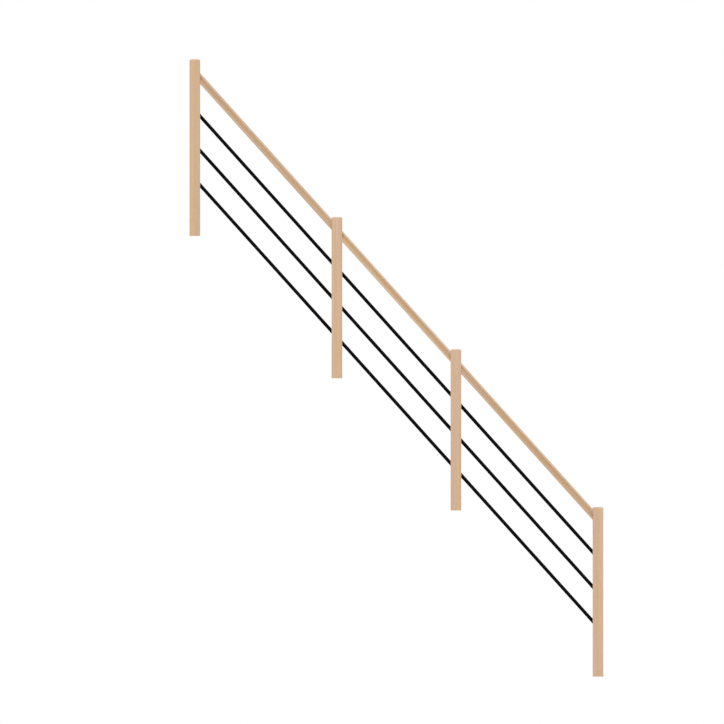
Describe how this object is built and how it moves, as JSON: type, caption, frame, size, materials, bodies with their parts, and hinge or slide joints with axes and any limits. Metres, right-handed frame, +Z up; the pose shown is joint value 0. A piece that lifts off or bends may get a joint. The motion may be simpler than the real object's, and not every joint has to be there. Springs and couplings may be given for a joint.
{
  "type": "stair balustrade panel",
  "caption": "Pitched stair balustrade panel: square timber posts carry a grooved timber handrail and rows of round black steel rods let into the posts.",
  "frame": {"origin": "middle of the bottom post's square foot, on the floor it stands on", "axes": "+Z up along the posts; +X level along the panel, down the stair, so the stair climbs towards -X; +Y across the panel, towards its back"},
  "size_m": [2.33, 0.06, 3.4761],
  "materials": {
    "beech": "satin clear lacquer",
    "black_steel": "satin black powder coat"
  },
  "bodies": {
    "root": {"bottom_post": "beech", "lower_post": "beech", "upper_post": "beech", "top_post": "beech", "lower_handrail": "beech", "middle_handrail": "beech", "upper_handrail": "beech", "lower_bay_top_rod": "black_steel", "lower_bay_middle_rod": "black_steel", "lower_bay_low_rod": "black_steel", "middle_bay_top_rod": "black_steel", "middle_bay_middle_rod": "black_steel", "middle_bay_low_rod": "black_steel", "upper_bay_top_rod": "black_steel", "upper_bay_middle_rod": "black_steel", "upper_bay_low_rod": "black_steel"}
  },
  "joints": []
}
